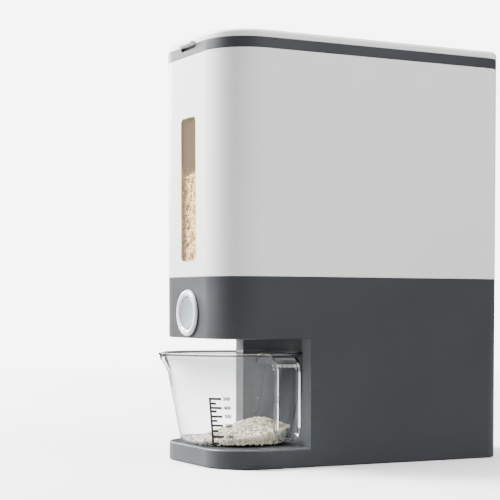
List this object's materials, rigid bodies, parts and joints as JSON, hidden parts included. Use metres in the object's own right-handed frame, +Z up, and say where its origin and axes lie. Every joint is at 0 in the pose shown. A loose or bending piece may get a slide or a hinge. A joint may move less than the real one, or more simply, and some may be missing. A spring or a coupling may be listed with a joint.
{
  "type": "rice dispenser",
  "caption": "Countertop rice dispenser: hinged-lid tank with a level window over an open bay, push button that swings a gate, and a clear measuring cup.",
  "frame": {"origin": "centre of the body's footprint on the plane it stands on", "axes": "-Y is the front with the button and window, +X the side that the cup's handle points to, +Z up"},
  "size_m": [0.1831, 0.3376, 0.3955],
  "materials": {
    "grey_plastic": "fine satin texture, dark slate grey",
    "grey_plastic_plain": "plain moulded, dark grey",
    "white_plastic": "fine satin texture, white",
    "white_plastic_plain": "plain moulded, white",
    "white_gloss": "polished white",
    "button_blue_grey": "satin blue-grey",
    "mechanism_plastic": "natural acetal",
    "clear_plastic": "clear styrene pane, smoky",
    "cup_clear": "clear styrene, polished",
    "pad_rubber": "dull rubber",
    "seal_rubber": "soft grey silicone",
    "screw_steel": "zinc plated",
    "spring_steel": "drawn spring wire"
  },
  "bodies": {
    "root": {"base_housing": "grey_plastic", "base_bottom_cover": "grey_plastic_plain", "anti_slip_pad": "pad_rubber", "cover_screws": "screw_steel", "tank_shell": "white_plastic", "tank_screws": "screw_steel", "window_pane": "clear_plastic", "hopper": "white_plastic_plain", "outlet_chute": "grey_plastic_plain", "gate_frame": "mechanism_plastic", "gate_pivot_pins": "screw_steel", "button_bezel": "white_gloss", "rod_guide": "mechanism_plastic", "mechanism_screws": "screw_steel", "return_spring": "spring_steel", "top_collar": "grey_plastic", "lid_hinge_pins": "screw_steel"},
    "lid": {"lid_cover": "white_plastic", "lid_inner_panel": "white_plastic_plain", "lid_seal": "seal_rubber"},
    "button": {"button_cap": "button_blue_grey", "push_yoke": "mechanism_plastic"},
    "gate": {"rice_gate": "mechanism_plastic"},
    "cup": {"cup_bowl": "cup_clear", "cup_handle": "cup_clear"}
  },
  "joints": [
    {"name": "lid_hinge", "type": "hinge", "parent": "root", "child": "lid", "pos_m": [0, 0.15358, 0.38815], "axis": [-1, 0, 0], "range_deg": [0, 100]},
    {"name": "button_press", "type": "slide", "parent": "root", "child": "button", "axis": [0, 1, 0], "range_m": [0, 0.01], "stiffness_N_per_m": 400, "springref_m": -0.004, "deforming": ["return_spring"]},
    {"name": "gate_swing", "type": "hinge", "parent": "root", "child": "gate", "pos_m": [0, -0.09, 0.1485], "axis": [1, 0, 0], "range_deg": [0, 41.85]},
    {"name": "cup_slide", "type": "slide", "parent": "root", "child": "cup", "axis": [0, -1, 0], "range_m": [0, 0.16]}
  ],
  "couplings": [
    {"joint": "gate_swing", "follows": "button_press", "rad_per_m": 73.007}
  ]
}
